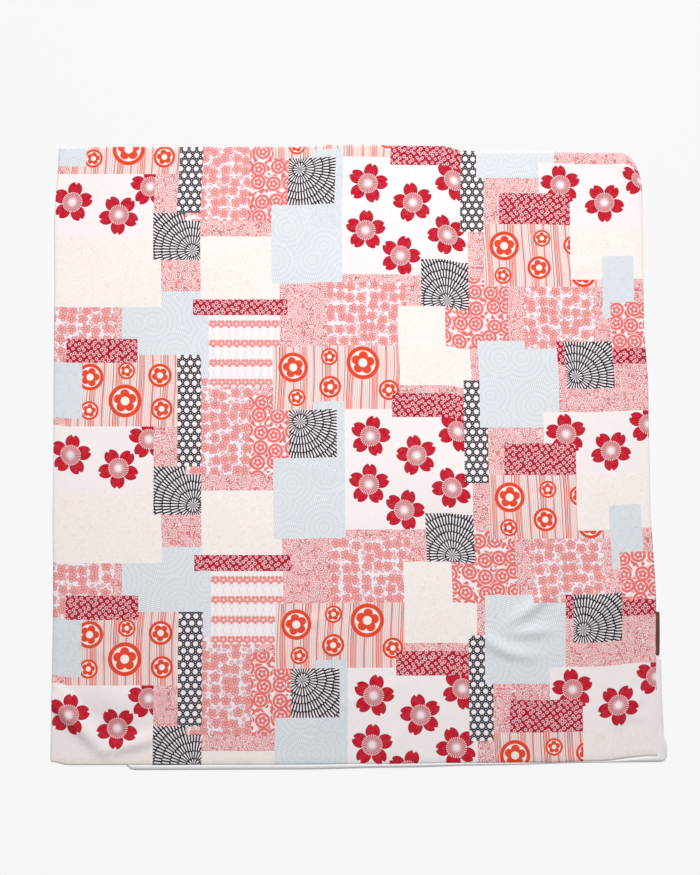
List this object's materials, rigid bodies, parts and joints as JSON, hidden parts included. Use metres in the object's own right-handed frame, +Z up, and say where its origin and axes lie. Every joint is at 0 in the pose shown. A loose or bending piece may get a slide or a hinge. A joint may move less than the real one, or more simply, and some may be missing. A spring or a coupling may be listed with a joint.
{
  "type": "furoshiki",
  "caption": "Near-square lined cotton wrapping cloth laid flat, with a printed patchwork-look face, a plain pale lining and a small bare side tag.",
  "frame": {"origin": "middle of the cloth's overall rectangle, on the surface it lies on", "axes": "+X towards the cloth's right side, +Y towards its top side, +Z up out of the printed face"},
  "size_m": [0.6949, 0.7125, 0.0067],
  "materials": {
    "printed_cotton": "matt plain-weave cotton, printed",
    "plain_cotton": "matt plain-weave cotton, undyed pale grey",
    "tag_tape": "dark brown woven tape, folded, bare"
  },
  "bodies": {
    "root": {"face": "printed_cotton", "lining": "plain_cotton", "side_tag": "tag_tape"}
  },
  "joints": []
}
